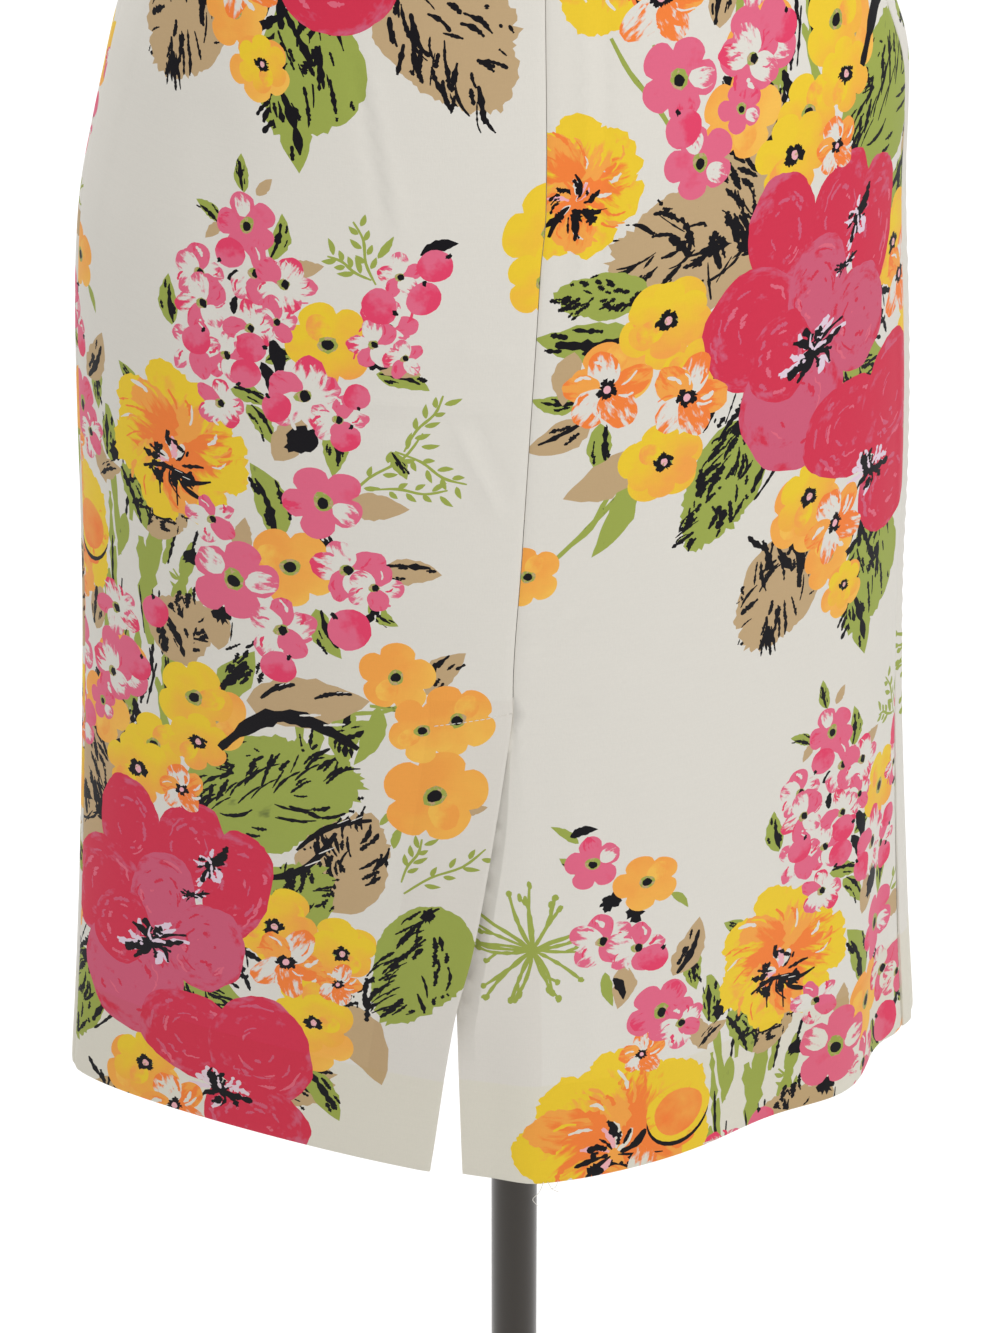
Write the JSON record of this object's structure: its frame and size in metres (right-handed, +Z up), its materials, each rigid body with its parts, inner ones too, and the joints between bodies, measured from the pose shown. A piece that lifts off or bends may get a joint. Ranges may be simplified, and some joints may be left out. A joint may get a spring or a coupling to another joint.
{
  "type": "pencil skirt on a dress form",
  "caption": "Knee-length flower-print pencil skirt with a waistband, centre-back zip and back vent, worn by a limbless dress form on a pole stand.",
  "frame": {"origin": "on the floor, at the centre of the stand's base and on the axis of its pole", "axes": "+Z up; the back of the skirt faces +Y and its front -Y; +X is the wearer's left"},
  "size_m": [0.4193, 0.4, 1.62],
  "materials": {
    "skirt_cotton": "fine cotton sateen, cream ground printed with flowers in rose, yellow, orange, olive, tan and black",
    "form_linen": "plain linen cover stretched over the form",
    "stand_steel": "dark brown-grey painted steel tube and plate",
    "zip_metal": "cream lacquered zip metal"
  },
  "bodies": {
    "root": {"front_panel": "skirt_cotton", "back_left_panel": "skirt_cotton", "back_right_panel": "skirt_cotton", "waistband": "skirt_cotton", "zip_slider": "zip_metal", "form_torso": "form_linen", "stand_pole": "stand_steel", "stand_base": "stand_steel"},
    "pull": {"zip_pull": "zip_metal"}
  },
  "joints": [
    {"name": "pull_swing", "type": "hinge", "parent": "root", "child": "pull", "pos_m": [0.00279, 0.10482, 1.143], "axis": [1, 0, 0], "range_deg": [0, 165]}
  ]
}
